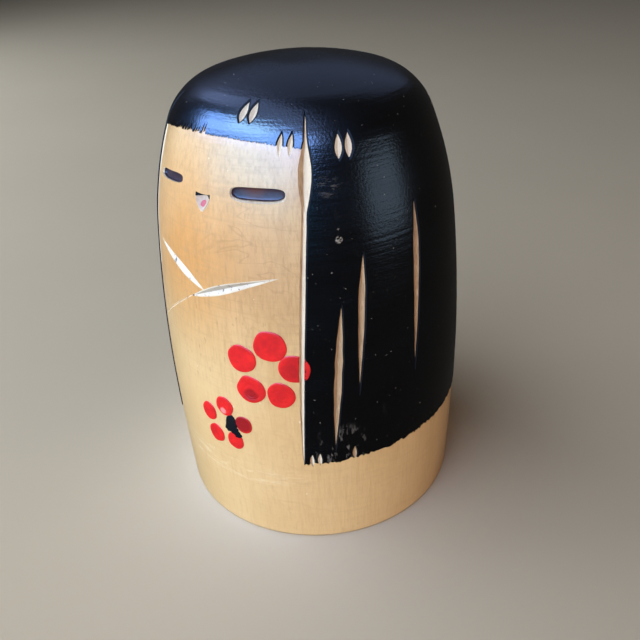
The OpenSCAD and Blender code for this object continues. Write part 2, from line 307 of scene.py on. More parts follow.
def swell(t, peak, tail=1.0):
    """Rises from 0 to 1 at the peak and falls back to 0. A tail over 1 makes the end slender."""
    if t < peak:
        return math.sin(math.pi / 2 * t / peak)
    return abs(math.cos(math.pi / 2 * (t - peak) / (1 - peak))) ** tail


def gouge(path, width, peak=0.5, sink=0.0, rough=0.05, seed=0, shift=0.0, half_angle=HALF_ANGLE,
          tail=1.0, fade=1.0):
    """A V-shaped cut whose depth swells and fades along a path of (turn, height) points.

    shift moves the V's valley sideways, as a share of the cut's half width. A low fade keeps the
    cut deep towards its ends.
    """
    rng = random.Random(SEED * 1000 + seed)
    path = np.array(path, float)
    count = len(path)
    spread = math.tan(math.radians(half_angle))
    depth = width / 2 / spread + TIP_LIFT
    wall = on_wall(path[:, 0], path[:, 1])
    normals = normal_at(path[:, 0], path[:, 1])
    waver = ripple(count, rng)
    drift = ripple(count, rng)
    rings = []
    for i in range(count):
        ahead = wall[min(i + 1, count - 1)] - wall[max(i - 1, 0)]
        side = np.cross(normals[i], ahead)
        side /= np.linalg.norm(side)
        d = depth * swell(i / (count - 1), peak, tail) ** fade * (1 + rough * waver[i]) - TIP_LIFT - sink
        rim = wall[i] + normals[i] * CUT_OVER
        reach = side * (d + CUT_OVER) * spread
        valley = wall[i] - normals[i] * d + side * (shift * spread + drift[i] * rough) * max(d, 0)
        rings.append([rim + reach, valley, rim - reach])
    return lofted("cut", rings)


def stroke(first, last, bow=0.0):
    """A path of (turn, height) points. bow lifts its middle."""
    first, last = np.array(first, float), np.array(last, float)
    length = np.linalg.norm(on_wall(*first) - on_wall(*last))
    count = max(MIN_PATH_POINTS, int(length / STEP_LEN))
    t = np.linspace(0, 1, count)[:, None]
    return first + (last - first) * t + hump(t, np.array([0, bow]))


# Side locks: the long cuts between the face and the side hair
LOCK_FOOT_Z = 20.1
LOCK_TOP_Z = HEIGHT - 4.1
LOCK_TURN_FOOT = 33
LOCK_TURN_TOP = 41.5
RIGHT_LOCK_SHIFT = 1.5
LOCK_BOW = 1
LOCK_W = 0.95
LOCK_VALLEY = -0.72
LOCK_FADE = 0.35
LOCK_WIDE_W = 2.1
LOCK_WIDE_VALLEY = -0.35
LOCK_WIDE_DROP = 2.2
LOCK_WIDE_LEN = 13
# Height of the lacquer's lower edge
FOOT_EDGE_Z = 21


def lock_turn(z, side=1):
    """A side lock's turn, without its sign. The doll's right lock has its foot further round."""
    t = (np.asarray(z, float) - LOCK_FOOT_Z) / (LOCK_TOP_Z - LOCK_FOOT_Z)
    foot = LOCK_TURN_FOOT + (RIGHT_LOCK_SHIFT if side < 0 else 0)
    return foot + (LOCK_TURN_TOP - foot) * t - hump(t, LOCK_BOW)


def lock_cuts(side):
    """A side lock: a narrow cut all the way down, and a wide one beside the eye."""
    cuts = []
    wide_top = LOCK_TOP_Z - LOCK_WIDE_DROP
    narrow = (LOCK_TOP_Z, LOCK_FOOT_Z, LOCK_W, LOCK_VALLEY, LOCK_FADE)
    wide = (wide_top, wide_top - LOCK_WIDE_LEN, LOCK_WIDE_W, LOCK_WIDE_VALLEY, 1.0)
    for high, low, width, shift, fade in (narrow, wide):
        z = np.linspace(high, low, int((high - low) / STEP_LEN))
        path = np.stack([side * lock_turn(z, side), z], -1)
        seed = 10 + side + int(width)
        cuts.append(gouge(path, width, 0.5, rough=0.06, seed=seed, shift=side * shift, fade=fade))
    return cuts


# Strands of a side's hair: turn, lean, rise, length, width, peak, tail
SIDE_STRANDS = (
    (44.5, 4.5, 2.3, 30.5, 1.35, 0.42, 1.1),
    (53.7, 3.9, 14.2, 27.2, 1.1, 0.32, 1.4),
    (76.5, 4.3, 15.3, 32.0, 1.25, 0.28, 1.3),
)
# Turns of the strands at the back, and what they share: lean, rise, length, width, peak, tail
BACK_STRANDS = (116, 150, 180, 212, 246)
BACK_STRAND = (2, 14.5, 30, 1.2, 0.4, 1.2)
# Nicks at the lacquer's lower edge: turn, rise
FOOT_NICKS = ((36.2, 0), (39, 0.25), (51.7, 1.0))
# Nicks at the fringe's edge: turn, lean
FRINGE_NICKS = ((30.2, 1.5), (34.2, 1.6))
FRINGE_NICK_DROP = 8.2
# Pairs of leaf cuts, over the temples and over the fringe: turn, drop
TEMPLE_LEAVES = (55, 8.8)
FRINGE_LEAVES = (15.7, 4.2)


def strand(turn, lean, rise, length, width, peak, tail, seed):
    """A long slender cut down the hair."""
    low = FOOT_EDGE_Z + rise
    path = stroke((turn + lean, low + length), (turn, low))
    return gouge(path, width, peak, rough=0.09, seed=seed, shift=-0.35, tail=tail, fade=0.7)


LEAF_PITCH = 1.65
LEAF_LEN = 4.5
LEAF_W = 1.15
LEAF_LEAN = 0.6
LEAF_HALF_ANGLE = 62
NICK_LEN = 3.8
NICK_W = 0.8


def leaf_pair(turn, drop, seed):
    """Two short leaf-shaped cuts side by side."""
    z = HEIGHT - drop
    radius, lean = wall_at(z)
    half_gap = math.degrees(LEAF_PITCH / 2 / float(radius))
    rise = LEAF_LEN / 2 * math.cos(float(lean))
    cuts = []
    for sign in (-1, 1):
        place = turn + sign * half_gap
        path = stroke((place + LEAF_LEAN, z + rise), (place - LEAF_LEAN, z - rise))
        leaf = gouge(path, LEAF_W, 0.55, seed=seed + sign, shift=-0.1, half_angle=LEAF_HALF_ANGLE)
        cuts.append(leaf)
    return cuts


def nick(turn, z, lean, seed):
    """A short cut across an edge of the lacquer."""
    path = stroke((turn + lean, z + NICK_LEN / 2), (turn, z - NICK_LEN / 2))
    return gouge(path, NICK_W, seed=seed, shift=-0.4)


def hair_cuts():
    """Every cut that goes through the lacquer into the wood, as one solid."""
    cuts = []
    for side in (-1, 1):
        cuts += lock_cuts(side)
        for k, (turn, lean, *rest) in enumerate(SIDE_STRANDS):
            cuts.append(strand(side * turn, side * lean, *rest, 20 + 10 * k + side))
        for k, (turn, rise) in enumerate(FOOT_NICKS):
            cuts.append(nick(side * turn, FOOT_EDGE_Z + rise, 0, 60 + 5 * side + k))
        cuts += leaf_pair(side * TEMPLE_LEAVES[0], TEMPLE_LEAVES[1], 50 + 3 * side)
    cuts += leaf_pair(*FRINGE_LEAVES, 70)
    for k, (turn, lean) in enumerate(FRINGE_NICKS):
        cuts.append(nick(turn, HEIGHT - FRINGE_NICK_DROP, lean, 80 + k))
    for k, turn in enumerate(BACK_STRANDS):
        cuts.append(strand(turn, *BACK_STRAND, 90 + k))
    return union(cuts)


# The collar: two white lapels that cross, and a fold below them
COLLAR_Z = HEIGHT - 32.8
COLLAR_RISE = 4.7
COLLAR_TURN = 30.5
COLLAR_W = 1.7
LAPEL_BOW = 0.8
LAPEL_COAT = 0.16
LAP_TURN = 8
LAP_DROP = 2.4
FOLD_W = 0.42
FOLD_BOW = 0.3
# The two ends of each cut: turn, height
RIGHT_LAPEL = ((-COLLAR_TURN - 1, COLLAR_Z + COLLAR_RISE + 0.4), (1.6, COLLAR_Z - 0.5))
LEFT_LAPEL = ((-LAP_TURN - 0.5, COLLAR_Z - LAP_DROP), (COLLAR_TURN + 1, COLLAR_Z + COLLAR_RISE))
FOLD = ((-34, COLLAR_Z - 12.1), (-LAP_TURN + 3, COLLAR_Z - LAP_DROP + 1.1))


def right_lapel_cut(sink=0.0):
    """The doll's right lapel, made shallower by sink."""
    return gouge(stroke(*RIGHT_LAPEL, LAPEL_BOW), COLLAR_W, 0.6, sink, seed=101)


def left_lapel_cut(sink=0.0):
    """The doll's left lapel, which laps over the right one."""
    return gouge(stroke(*LEFT_LAPEL, LAPEL_BOW), COLLAR_W, 0.35, sink, seed=102, shift=-0.2)


def fold_cut():
    """The fine line that runs on below the lapels."""
    path = stroke(*FOLD, FOLD_BOW)
    return gouge(path, FOLD_W, 0.6, rough=0.12, seed=103, half_angle=60, fade=0.4)


# ---------------- eyes and mouth

EYE_STEPS = 96
EYE_COAT = 0.07
# Each eye's half width, half height, tilt in degrees and bare lip below it
EYES = {"left": (4.5, 1.0, 0.0, 0.4), "right": (4.35, 0.8, 7.0, 0.06)}
# Rings of an eye's hollow, from the rim to the middle of its floor: size, lift, share of the lip
EYE_SHAPE = ((1.0, -0.45, 0.1), (0.95, -0.7, 0), (0.8, -0.8, 0), (0.5, -0.84, 0), (0.1, -0.86, 0))
EYE_RIM = ((1.03, 1.0, 1.0), (1.03, 0.02, 1.0))
EYE_COAT_RIM = (0.995, -0.3, 0.0)


def eye_outline(half_w, half_h, lip):
    """A bar with round ends, around the origin. Its lower edge is dropped by a lip."""
    a = np.linspace(0, 2 * math.pi, EYE_STEPS, endpoint=False)
    across = np.sign(np.cos(a)) * np.abs(np.cos(a)) ** 0.5
    up = np.sign(np.sin(a)) * np.abs(np.sin(a)) ** 0.7
    down = np.clip(-np.sin(a), 0, 1) ** 0.5
    return across * half_w, up * half_h - lip * down


def eye_rings(name, rows):
    """Rings around an eye for rows of size, lift and share of the lip."""
    turn, z = place_of("eye_" + name)
    half_w, half_h, tilt, lip_drop = EYES[name]
    c, s = direction(tilt)
    rings = []
    for size, lift, lip in rows:
        x, y = eye_outline(half_w, half_h, lip * lip_drop)
        rings.append(near_wall(turn, z, (x * c - y * s) * size, (x * s + y * c) * size, lift))
    return rings


def eye_cut(name):
    """The hollow of an eye, open above the wall."""
    return lofted("cut", eye_rings(name, EYE_RIM + EYE_SHAPE))


def eye_paint(name):
    """A coat on the hollow's floor and walls, thinner than the hollow is deep."""
    outer = (EYE_COAT_RIM,) + EYE_SHAPE
    inner = tuple((size * 0.97, lift + EYE_COAT, lip) for size, lift, lip in outer)
    rings = eye_rings(name, outer)[::-1] + eye_rings(name, inner)
    return lofted("eye_coat_" + name, rings)


MOUTH_TURN = -0.3
MOUTH_Z = HEIGHT - 16.1
MOUTH_W = 3.2
MOUTH_H = 3.0
MOUTH_SAG = 0.16
MOUTH_TAPER = 0.86
MOUTH_BULGE = 0.22
MOUTH_COAT = 0.12
TONGUE_COAT = 0.05
LIP_LINE_H = 0.65
PIT_DROP = 0.45
# Rings of the mouth's pit, from its rim to its bottom: size, lift
MOUTH_SHAPE = ((1.0, 0.0), (0.75, -0.3), (0.5, -0.62), (0.25, -0.92), (0.05, -1.1))


def mouth_outline():
    """The mouth's rim: a shallow smile above, and sides that close in a round tip."""
    top = np.linspace(-1, 1, 13)
    side = np.linspace(0, 1, 12)[1:]
    half = MOUTH_W / 2
    right = []
    for t in side:
        bulge = MOUTH_BULGE * math.sin(math.pi * t)
        right.append((half * (1 - t ** 1.5 * MOUTH_TAPER) + bulge, -MOUTH_H * t ** 0.95))
    smile = [(half * t, MOUTH_SAG * (t * t - 1)) for t in top]
    left = [(-x, y) for x, y in right[::-1]]
    return np.array(smile + right + left)


def mouth_rings(rows):
    """Rings around the mouth's pit for rows of size and lift."""
    rim = mouth_outline()
    pit = np.array([0.0, -PIT_DROP])
    rings = []
    for size, lift in rows:
        x, y = (pit + (rim - pit) * size).T
        rings.append(near_wall(MOUTH_TURN, MOUTH_Z, x, y, lift))
    return rings


def mouth_cut():
    """The pit of the mouth, open above the wall."""
    return lofted("cut", mouth_rings(((1.02, 1.0),) + MOUTH_SHAPE))


def mouth_coat(name, low, high):
    """A layer of paint in the mouth's pit, between two lifts of its wall."""
    bottom = tuple((size, lift + low) for size, lift in MOUTH_SHAPE if lift < 0)
    bottom = ((0.96, low - 0.05),) + bottom
    top = tuple((size * 0.99, lift + high - low) for size, lift in bottom)
    return lofted(name, mouth_rings(bottom)[::-1] + mouth_rings(top))


SLAB_HALF_W = 9
SLAB_FRONT = -60


def slab(low_z, high_z):
    """A wide block across the face between two heights."""
    across = ((-SLAB_HALF_W, SLAB_FRONT), (SLAB_HALF_W, SLAB_FRONT), (SLAB_HALF_W, 0), (-SLAB_HALF_W, 0))
    return lofted("cut", [[(x, y, z) for x, y in across] for z in (low_z, high_z)])


# ---------------- the lacquer's painted edges

# The fringe's edge: drop and turn of its highest point, and the turn over which it falls by 1 mm
FRINGE_DROP = 7.4
FRINGE_TOP_TURN = 2
FRINGE_ARCH = 33


def fringe_height(turn):
    """Height of the fringe's edge: a slight arch across the forehead."""
    return HEIGHT - FRINGE_DROP - ((turn - FRINGE_TOP_TURN) / FRINGE_ARCH) ** 2


def curtain(turns, low, high, inner, outer):
    """Rings of a wall-shaped cutter, between two heights at each turn and between two radii."""
    t = np.radians(turns)
    s, c = np.sin(t), -np.cos(t)
    corners = ((inner, low), (outer, low), (outer, high), (inner, high))
    return np.stack([np.stack([r * s, r * c, z], -1) for r, z in corners], 1)


# Ranges of the teeth in the fringe's edge: height, half width and step in degrees. Up to a turn
# they are long, and beyond it short
LONG_TEETH = ((0.5, 1.8), (0.55, 0.95), (1.0, 2.3))
SHORT_TEETH = ((0.05, 0.35), (0.3, 0.55), (0.8, 1.9))
LONG_TEETH_END = -3
WINDOW_STEP = 0.12
EDGE_WAVER = 0.04


def window_cut():
    """The bare front below the fringe, whose upper edge is ragged with teeth."""
    rng = random.Random(SEED)
    turns = np.arange(-LOCK_TURN_TOP, LOCK_TURN_TOP, WINDOW_STEP)
    edge = fringe_height(turns) + EDGE_WAVER * ripple(len(turns), rng, 2)
    high = edge.copy()
    place = -LOCK_TURN_TOP
    while place < LOCK_TURN_TOP:
        heights, halves, steps = LONG_TEETH if place < LONG_TEETH_END else SHORT_TEETH
        height = rng.uniform(*heights)
        half = rng.uniform(*halves)
        tooth = np.clip(1 - np.abs(turns - place) / half, 0, 1)
        high = np.maximum(high, edge + height * tooth)
        place += rng.uniform(*steps)
    # The side edges lie in the middle of the side locks
    foot = LOCK_FOOT_Z - 3
    heights = np.linspace(foot, HEIGHT - 5, 60)
    low = np.full(len(turns), foot)
    for side in (-1, 1):
        rise = np.interp(side * turns, lock_turn(heights, side), heights, left=foot, right=HEIGHT)
        low = np.maximum(low, rise)
    low = np.minimum(low, high - 0.01)
    return lofted("cut", curtain(turns, low, high, 10.0, 40.0))


# The lacquer's lower edge: mean height, slant, the turn where it is at its mean, unevenness
FOOT_MEAN_Z = 21.1
FOOT_SLANT = 1.4
FOOT_SLANT_TURN = 62
FOOT_FINE = 0.32
FOOT_BROAD = 0.2
FOOT_STEPS = 1500
# Steps over which the edge's end is brought back to its start
FOOT_SEAM = 20


def foot_cut():
    """Everything below the lacquer's lower edge, which the brush left a little uneven."""
    rng = random.Random(SEED + 1)
    turns = np.linspace(0, 360, FOOT_STEPS, endpoint=False)
    edge = FOOT_MEAN_Z + FOOT_SLANT * np.sin(np.radians(turns - FOOT_SLANT_TURN))
    fine = ripple(FOOT_STEPS, rng, 3)
    broad = ripple(FOOT_STEPS, rng, 14)
    high = edge + FOOT_FINE * fine + FOOT_BROAD * broad
    high[-FOOT_SEAM:] = np.linspace(high[-FOOT_SEAM], high[0], FOOT_SEAM)
    rings = curtain(turns, np.full(FOOT_STEPS, -5.0), high, 8.0, 45.0)
    faces = []
    for k in range(FOOT_STEPS):
        faces += band(4 * k, 4 * ((k + 1) % FOOT_STEPS), 4)
    return outward(make("cut", rings.reshape(-1, 3), faces))


# ---------------- materials

def shader(name):
    """A new material and its node maker."""
    material = bpy.data.materials.new(name)
    material.use_nodes = True
    return material, Nodes(material.node_tree)


class Nodes:
    """Short names for the nodes that the materials use."""

    def __init__(self, tree):
        self.tree = tree
        self.surface = tree.nodes["Principled BSDF"].inputs

    def new(self, kind, **values):
        """A node with values for its inputs, whose names have _ for each space."""
        node = self.tree.nodes.new("ShaderNode" + kind)
        for name, value in values.items():
            node.inputs[name.replace("_", " ")].default_value = value
        return node

    def link(self, a, b):
        self.tree.links.new(a, b)

    def give(self, socket, value):
        """Sets an input to a colour or a number, or links an output to it."""
        if isinstance(value, tuple):
            socket.default_value = (*value, 1)
        elif isinstance(value, (int, float)):
            socket.default_value = value
        else:
            self.link(value, socket)

    def here(self):
        return self.new("TexCoord").outputs["Object"]

    def place(self, scale=(1, 1, 1), turn=(0, 0, 0), shift=(0, 0, 0)):
        """Object coordinates, scaled, turned and shifted."""
        mapping = self.new("Mapping", Scale=scale, Rotation=turn, Location=shift)
        self.link(self.here(), mapping.inputs["Vector"])
        return mapping.outputs["Vector"]

    def noise(self, vector, scale, detail=3.0, roughness=0.5, distortion=0.0):
        node = self.new("TexNoise", Scale=scale, Detail=detail, Roughness=roughness, Distortion=distortion)
        self.link(vector, node.inputs["Vector"])
        return node.outputs["Fac"]

    def ramp(self, value, low, high, low_to=0.0, high_to=1.0):
        """A value carried linearly from one range to another, and clamped."""
        node = self.new("MapRange", From_Min=low, From_Max=high, To_Min=low_to, To_Max=high_to)
        self.link(value, node.inputs["Value"])
        return node.outputs["Result"]

    def math(self, operation, a, b):
        node = self.new("Math")
        node.operation = operation
        for socket, value in zip(node.inputs, (a, b)):
            self.give(socket, value)
        return node.outputs[0]

    def times(self, a, b):
        return self.math("MULTIPLY", a, b)

    def mix(self, factor, a, b):
        """A colour between a and b. Each may be a socket or a colour."""
        node = self.new("Mix")
        node.data_type = "RGBA"
        for index, value in ((0, factor), (6, a), (7, b)):
            self.give(node.inputs[index], value)
        return node.outputs[2]

    def spot(self, turn, z, radius, softness):
        """1 around a place on the wall, fading to 0 at a radius in millimetres."""
        distance = self.new("VectorMath")
        distance.operation = "DISTANCE"
        self.link(self.here(), distance.inputs[0])
        distance.inputs[1].default_value = on_wall(turn, z) * MM
        return self.ramp(distance.outputs["Value"], radius * MM * (1 - softness), radius * MM, 1, 0)

    def height_band(self, low, high, soft):
        """1 between two heights, fading to 0 outside them."""
        axes = self.new("SeparateXYZ")
        self.link(self.here(), axes.inputs[0])
        rise = self.ramp(axes.outputs["Z"], (low - soft) * MM, low * MM)
        fall = self.ramp(axes.outputs["Z"], high * MM, (high + soft) * MM, 1, 0)
        return self.times(rise, fall)

    def bump(self, height, strength, distance):
        node = self.new("Bump", Strength=strength, Distance=distance)
        self.link(height, node.inputs["Height"])
        return node.outputs["Normal"]

    def paint(self, tone, roughness, specular, height, strength, distance):
        """The surface's colour, roughness and specular level, and its bump from a height."""
        self.link(tone, self.surface["Base Color"])
        self.give(self.surface["Roughness"], roughness)
        self.give(self.surface["Specular IOR Level"], specular)
        self.link(self.bump(height, strength, distance), self.surface["Normal"])


def wood_grain(n):
    """Fibres, pores and clouds of straight-grained wood, as values from 0 to 1."""
    fibres = n.noise(n.place((1, 1, 0.1)), 1900, 5, 0.65)
    pores = n.noise(n.place((1, 1, 0.16), shift=(0.3, 0.1, 0)), 2600, 3, 0.6)
    clouds = n.noise(n.place((1, 1, 0.55)), 75, 4, 0.55, 0.6)
    return fibres, pores, clouds


# Colours of the turned wood and of the marks in it
TAN = (0.68, 0.515, 0.295)
STRAW = (0.78, 0.64, 0.41)
ORANGE = (0.68, 0.37, 0.13)
STREAK = (0.5, 0.32, 0.16)
FIBRE = (0.42, 0.28, 0.15)
PORE = (0.86, 0.74, 0.54)
TURNING = (0.48, 0.33, 0.18)
MOTTLE = (0.46, 0.3, 0.16)
PIT = (0.3, 0.18, 0.09)
VEIN = (0.32, 0.18, 0.09)
FOOT_VEIN = (0.36, 0.22, 0.12)
STAIN = (0.46, 0.29, 0.17)
SCUFF = (0.92, 0.87, 0.76)
FOOT_GOLD = (0.86, 0.67, 0.38)
FLECK = (0.93, 0.88, 0.76)


def turned_wood():
    """Varnished wood: straw and tan clouds, fibres, pores, an orange throat, veins and scuffs."""
    material, n = shader("turned_wood")
    fibres, pores, clouds = wood_grain(n)
    streaks = n.noise(n.place((1, 1, 0.04), shift=(0.1, 0.2, 0)), 480, 4, 0.6)
    tone = n.mix(n.ramp(clouds, 0.35, 0.68), TAN, STRAW)
    tone = n.mix(n.times(n.spot(-10, COLLAR_Z + 6, 22, 0.85), 0.88), tone, ORANGE)
    tone = n.mix(n.ramp(streaks, 0.5, 0.72, 0, 0.3), tone, STREAK)
    tone = n.mix(n.ramp(fibres, 0.48, 0.7, 0, 0.5), tone, FIBRE)
    tone = n.mix(n.ramp(pores, 0.55, 0.7, 0, 0.12), tone, PORE)
    turning = n.noise(n.place((0.05, 0.05, 1)), 1500, 3, 0.6)
    tone = n.mix(n.ramp(turning, 0.5, 0.7, 0, 0.32), tone, TURNING)
    mottle = n.noise(n.place(shift=(0.2, 0, 0.1)), 620, 4, 0.65)
    tone = n.mix(n.ramp(mottle, 0.52, 0.68, 0, 0.2), tone, MOTTLE)
    pits = n.ramp(n.noise(n.place((1, 1, 0.45), shift=(0.1, 0, 0.3)), 1250, 2, 0.5), 0.66, 0.72)
    pits = n.times(pits, n.spot(-4, COLLAR_Z - 9, 22, 0.8))
    tone = n.mix(n.times(pits, 0.6), tone, PIT)
    veins = n.noise(n.place((1, 1, 1.5), shift=(0.02, 0, 0.04)), 55, 3, 0.55, 1.3)
    veins = n.ramp(n.math("ABSOLUTE", n.math("SUBTRACT", veins, 0.5), 0), 0.0, 0.012, 1, 0)
    throat = n.times(veins, n.spot(22, COLLAR_Z + 8, 17, 0.7))
    tone = n.mix(n.times(throat, 0.32), tone, VEIN)
    foot = n.times(veins, n.spot(22, 8, 30, 0.5))
    tone = n.mix(n.times(foot, 0.3), tone, FOOT_VEIN)
    tone = n.mix(n.times(n.spot(26, COLLAR_Z + 4, 12, 0.9), 0.3), tone, STAIN)
    scuff = n.noise(n.place((1, 1, 6), (0, 0.12, 0)), 190, 5, 0.75)
    scuff = n.times(n.ramp(scuff, 0.5, 0.6), n.height_band(14.5, 17.5, 1.2))
    scuff = n.times(scuff, n.spot(-2, 15.5, 27, 0.8))
    tone = n.mix(scuff, tone, SCUFF)
    tone = n.mix(n.times(n.height_band(0, 30, 22), 0.55), tone, FOOT_GOLD)
    fleck = n.noise(n.place((1, 1, 0.7), shift=(0, 0.3, 0)), 900, 2, 0.5)
    tone = n.mix(n.ramp(fleck, 0.74, 0.77, 0, 0.8), tone, FLECK)
    n.give(n.surface["Coat Weight"], 1.0)
    n.give(n.surface["Coat Roughness"], 0.3)
    n.paint(tone, n.ramp(clouds, 0.3, 0.7, 0.34, 0.48), 0.5, fibres, 0.25, 0.0003)
    return material


def cut_wood(name, light, dark, pore, fibre_strength=0.8):
    """Wood in the cuts: dry, and torn a little along the fibres."""
    material, n = shader(name)
    fibres, pores, clouds = wood_grain(n)
    tone = n.mix(n.ramp(clouds, 0.35, 0.7), light, dark)
    tone = n.mix(n.ramp(fibres, 0.5, 0.7, 0, fibre_strength), tone, (0.3, 0.2, 0.12))
    tone = n.mix(n.ramp(pores, 0.55, 0.7, 0, 0.6), tone, pore)
    n.paint(tone, 0.72, 0.3, fibres, 0.5, 0.0004)
    return material


# Small marks on the lacquer: turn, height, radius
SCRATCHES = ((49.2, 66.6, 0.45), (49.5, 64.9, 0.7), (46.5, 59.6, 0.3), (73.4, 45.8, 0.3))


def black_lacquer():
    """Glossy black lacquer with turning marks, smears, dust, rubbed patches and fine scratches."""
    material, n = shader("black_lacquer")
    rings = n.noise(n.place((0.03, 0.03, 1)), 1500, 3, 0.6)
    orange_peel = n.noise(n.place(), 2400, 2, 0.5)
    smears = n.noise(n.place((0.4, 0.4, 1)), 140, 4, 0.6)
    dust = n.noise(n.place(shift=(0, 0, 0.2)), 1700, 2, 0.5)
    tone = n.mix(n.ramp(dust, 0.74, 0.77, 0, 0.5), (0.0016, 0.0018, 0.0026), (0.4, 0.42, 0.45))
    rubbed = n.ramp(n.noise(n.place((0.5, 0.5, 1.6)), 1300, 3, 0.7), 0.5, 0.66)
    rubbed = n.times(rubbed, n.spot(47.3, HEIGHT - 14.2, 2.2, 0.7))
    tone = n.mix(rubbed, tone, (0.075, 0.085, 0.1))
    for turn, z, radius in SCRATCHES:
        grit = n.ramp(n.noise(n.place(), 2100, 2), 0.45, 0.6)
        mark = n.times(grit, n.spot(turn, z, radius, 0.3))
        tone = n.mix(mark, tone, (0.35, 0.38, 0.42))
    chafed = n.ramp(n.noise(n.place((1, 1, 0.35), (0.3, 0.2, 0)), 700, 3, 0.7), 0.56, 0.68)
    chafed = n.times(chafed, n.spot(47, FOOT_EDGE_Z + 3, 6, 0.8))
    tone = n.mix(chafed, tone, (0.22, 0.24, 0.28))
    worn = n.ramp(n.noise(n.place((1, 1, 0.5), shift=(0.1, 0, 0)), 420, 5, 0.75), 0.62, 0.74, 0, 0.35)
    tone = n.mix(worn, tone, (0.014, 0.016, 0.02))
    relief = n.math("ADD", rings, n.times(orange_peel, 0.6))
    n.paint(tone, n.ramp(smears, 0.3, 0.75, 0.2, 0.3), 0.75, relief, 0.3, 0.0002)
    return material


def brushed_paint(name, colour, darker, roughness, scale=300):
    """Brushed paint that pools a little unevenly."""
    material, n = shader(name)
    pool = n.noise(n.place(), scale, 3, 0.5)
    tone = n.mix(n.ramp(pool, 0.35, 0.7), colour, darker)
    n.paint(tone, roughness, 0.2, pool, 0.1, 0.0003)
    return material


def eye_ink():
    """Dark violet ink with a painted brown reflection in the middle of the left eye."""
    material, n = shader("eye_ink")
    pool = n.noise(n.place(), 420, 3, 0.6)
    tone = n.mix(n.ramp(pool, 0.4, 0.62), (0.035, 0.027, 0.05), (0.065, 0.045, 0.075))
    turn, z = place_of("eye_left")
    # A painted brown reflection in the middle of the left eye
    tone = n.mix(n.spot(turn - 1, z + 0.4, 2.2, 0.8), tone, (0.11, 0.045, 0.045))
    n.paint(tone, 0.36, 0.35, pool, 0.12, 0.0003)
    return material


def chalk_white(name, light, dark):
    """White paint in the lapels, with the wood's dark pores showing through in specks."""
    material, n = shader(name)
    specks = n.noise(n.place(), 1500, 2, 0.5)
    broad = n.noise(n.place(), 300, 3, 0.6)
    mask = n.times(n.ramp(specks, 0.6, 0.66), n.ramp(broad, 0.44, 0.58))
    tone = n.mix(n.ramp(broad, 0.35, 0.7), light, dark)
    tone = n.mix(mask, tone, (0.1, 0.09, 0.09))
    n.paint(tone, 0.6, 0.5, broad, 0.2, 0.0003)
    return material


# Petals with darker patches: node, how far below its middle, radius, strength
DARK_DABS = (
    ("large_flower_petal_4", 1.7, 1.6, 0.55),
    ("large_flower_petal_1", 0.3, 1.9, 0.3),
    ("small_flower_petal_5", -0.2, 2.2, 0.75),
)


def flower_red():
    """Signal red with darker pools and grit, some darker patches, and one pale spot."""
    material, n = shader("flower_red")
    pool = n.noise(n.place(), 330, 4, 0.6)
    grit = n.noise(n.place(), 1900, 2, 0.5)
    tone = n.mix(n.ramp(pool, 0.35, 0.68), (0.83, 0.019, 0.021), (0.6, 0.012, 0.018))
    tone = n.mix(n.ramp(grit, 0.55, 0.72, 0, 0.35), tone, (0.5, 0.012, 0.02))
    for node, drop, radius, strength in DARK_DABS:
        turn, z = place_of(node)
        dab = n.times(n.spot(turn, z - drop, radius, 0.35), strength)
        tone = n.mix(dab, tone, (0.2, 0.006, 0.012))
    turn, z = place_of("small_flower_petal_1")
    tone = n.mix(n.spot(turn - 0.4, z - 1.1, 0.85, 0.4), tone, (0.8, 0.3, 0.33))
    n.paint(tone, 0.42, 0.4, grit, 0.15, 0.0002)
    return material


# ---------------- finishing a piece

# How near a face has to be to the turned wall, in lift and along its normal
LIFT_MATCH = 0.03
NORMAL_MATCH = 0.985
# Around the lathe's axis a face counts as turned if it is this near the top and looks up
CROWN_MATCH = 2
CROWN_NORMAL = 0.9


def read(items, attribute, width=3, kind=float):
    """An attribute of all of a mesh's faces, corners or vertices, as rows of an array."""
    values = np.zeros(len(items) * width, kind)
    items.foreach_get(attribute, values)
    return values.reshape(-1, width)


def face_places(mesh):
    """Each face's middle in millimetres, its normal, and its turn in radians."""
    centres = read(mesh.polygons, "center") / MM
    return centres, read(mesh.polygons, "normal"), np.arctan2(centres[:, 0], -centres[:, 1])


def is_turned(mesh, lifts):
    """Which faces of a mesh lie on the turned wall at one of the given lifts."""
    centres, normals, turn = face_places(mesh)
    radius, lean = wall_at(centres[:, 2])
    lift = (np.hypot(centres[:, 0], centres[:, 1]) - radius) * np.cos(lean)
    along = (normals * normal_at(np.degrees(turn), centres[:, 2])).sum(1)
    found = (centres[:, 2] > HEIGHT - CROWN_MATCH) & (normals[:, 2] > CROWN_NORMAL)
    for wanted in lifts:
        found |= (np.abs(lift - wanted) < LIFT_MATCH) & (along > NORMAL_MATCH)
    return found


# Where the cuts' colours change: reach of a side lock, turn of the front's edge, the fold's
# turn and drop below the collar, the leaves' drop below the top
LOCK_REACH = 4
FRONT_TURN = 43
FOLD_TURN = -9
FOLD_DROP = 2
LEAVES_DROP = 14
# A lock's wall looks away from the face, and from the light, beyond this share of its normal; that wall
# takes the tan wood as painted shade
AWAY = 0.12


def cut_kind(mesh):
    """For each face, 2 where a cut is whitish and 1 where it is bare tan wood.

    The whitish ones are the face's cuts, the leaves and each side lock's wall that faces the face. A side
    lock's wall that looks away from the face, and from the light, takes the tan wood as painted shade.
    """
    centres, normals, turn = face_places(mesh)
    z = centres[:, 2]
    across = normals[:, 0] * np.cos(turn) + normals[:, 1] * np.sin(turn)
    turn = np.degrees(turn)
    lock = np.abs(np.abs(turn) - lock_turn(z)) < LOCK_REACH
    # Lock walls that look away from the face and the light take the tan wood: painted shade
    away = across * np.sign(turn) > AWAY
    fold = (turn < FOLD_TURN) & (z < COLLAR_Z - FOLD_DROP)
    pale = (np.abs(turn) < FRONT_TURN) & ~(lock & away) & ~fold & (z > LOCK_FOOT_Z)
    leaf = ~lock & (z > HEIGHT - LEAVES_DROP)
    return np.where(pale | leaf, 2, 1)


